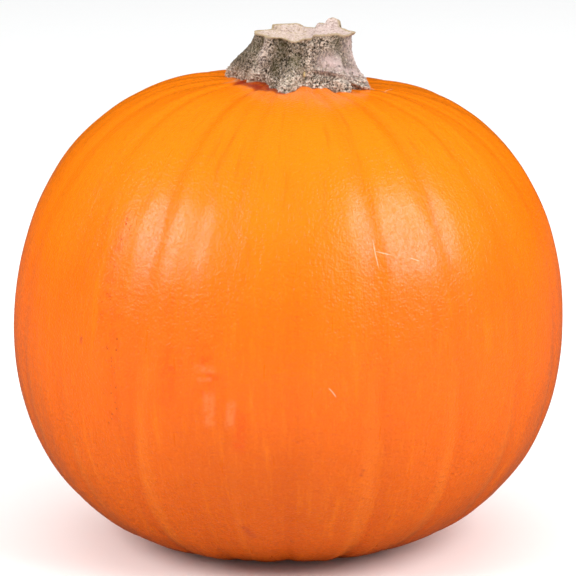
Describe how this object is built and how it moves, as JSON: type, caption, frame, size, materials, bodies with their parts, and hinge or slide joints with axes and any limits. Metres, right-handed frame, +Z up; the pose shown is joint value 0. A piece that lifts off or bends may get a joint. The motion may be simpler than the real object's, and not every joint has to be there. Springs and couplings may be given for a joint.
{
  "type": "pumpkin",
  "caption": "Ripe round orange pumpkin with shallow ribs and furrows and a cut woody stem, resting on the flat pads of its underside.",
  "frame": {"origin": "middle of the footprint, on the surface that the pumpkin rests on", "axes": "+Z up through the stem, -Y towards the viewer of the picture, +X to that viewer's right"},
  "size_m": [0.2498, 0.25, 0.238],
  "materials": {
    "rind": "waxy satin orange rind with fine pores",
    "stem": "rough dry grey-green stem with a pale cut end"
  },
  "bodies": {
    "root": {"fruit": "rind", "stem": "stem"}
  },
  "joints": []
}
